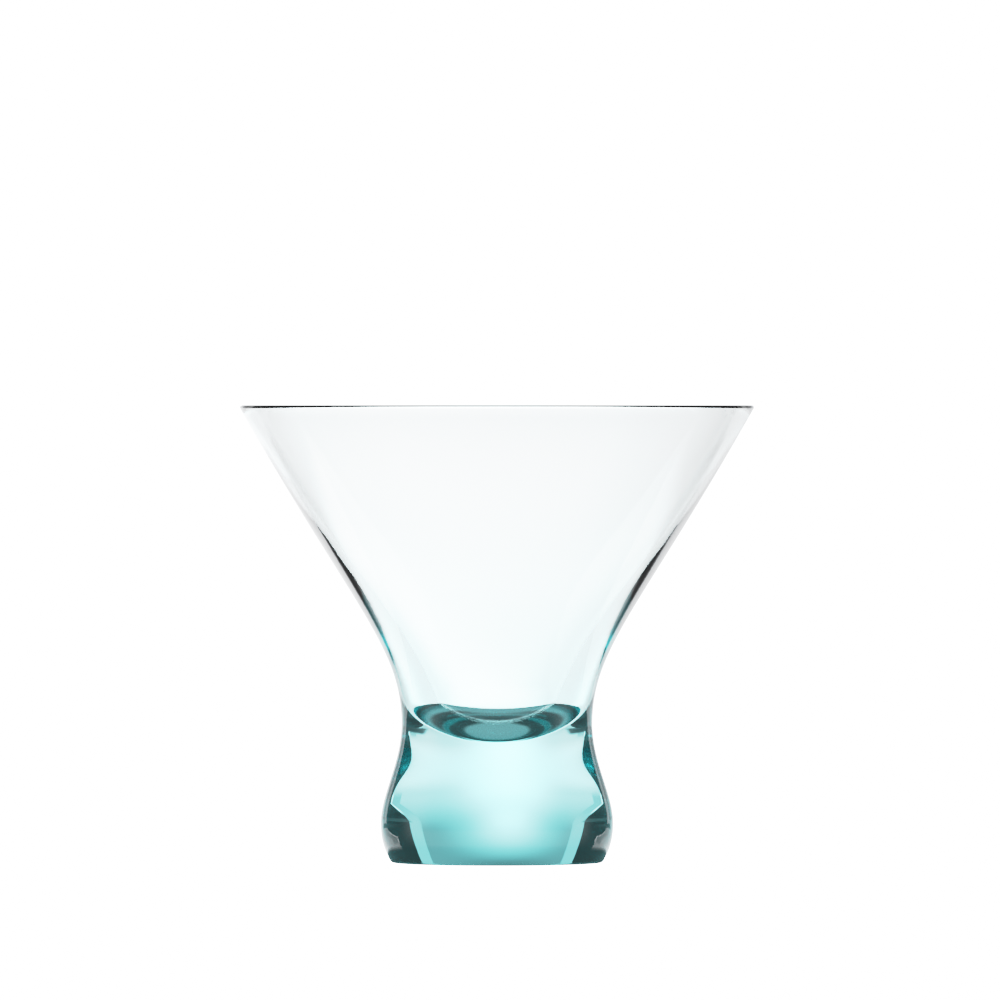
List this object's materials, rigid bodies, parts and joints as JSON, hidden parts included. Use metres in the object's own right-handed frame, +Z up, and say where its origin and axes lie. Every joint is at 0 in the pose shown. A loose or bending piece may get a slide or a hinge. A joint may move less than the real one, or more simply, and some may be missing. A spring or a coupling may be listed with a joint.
{
  "type": "martini glass",
  "caption": "Stemless martini glass: a thin flared conical bowl on a solid waisted base of pale aqua crystal, with a flat polished underside.",
  "frame": {"origin": "centre of the flat underside, on the surface that the glass stands on", "axes": "+Z up along the axis of revolution"},
  "size_m": [0.1176, 0.1176, 0.1046],
  "materials": {
    "bowl_glass": "fire-polished clear crystal with a pale aqua tint",
    "base_glass": "solid clear crystal with an aqua tint that deepens with thickness"
  },
  "bodies": {
    "root": {"bowl": "bowl_glass", "base": "base_glass"}
  },
  "joints": []
}
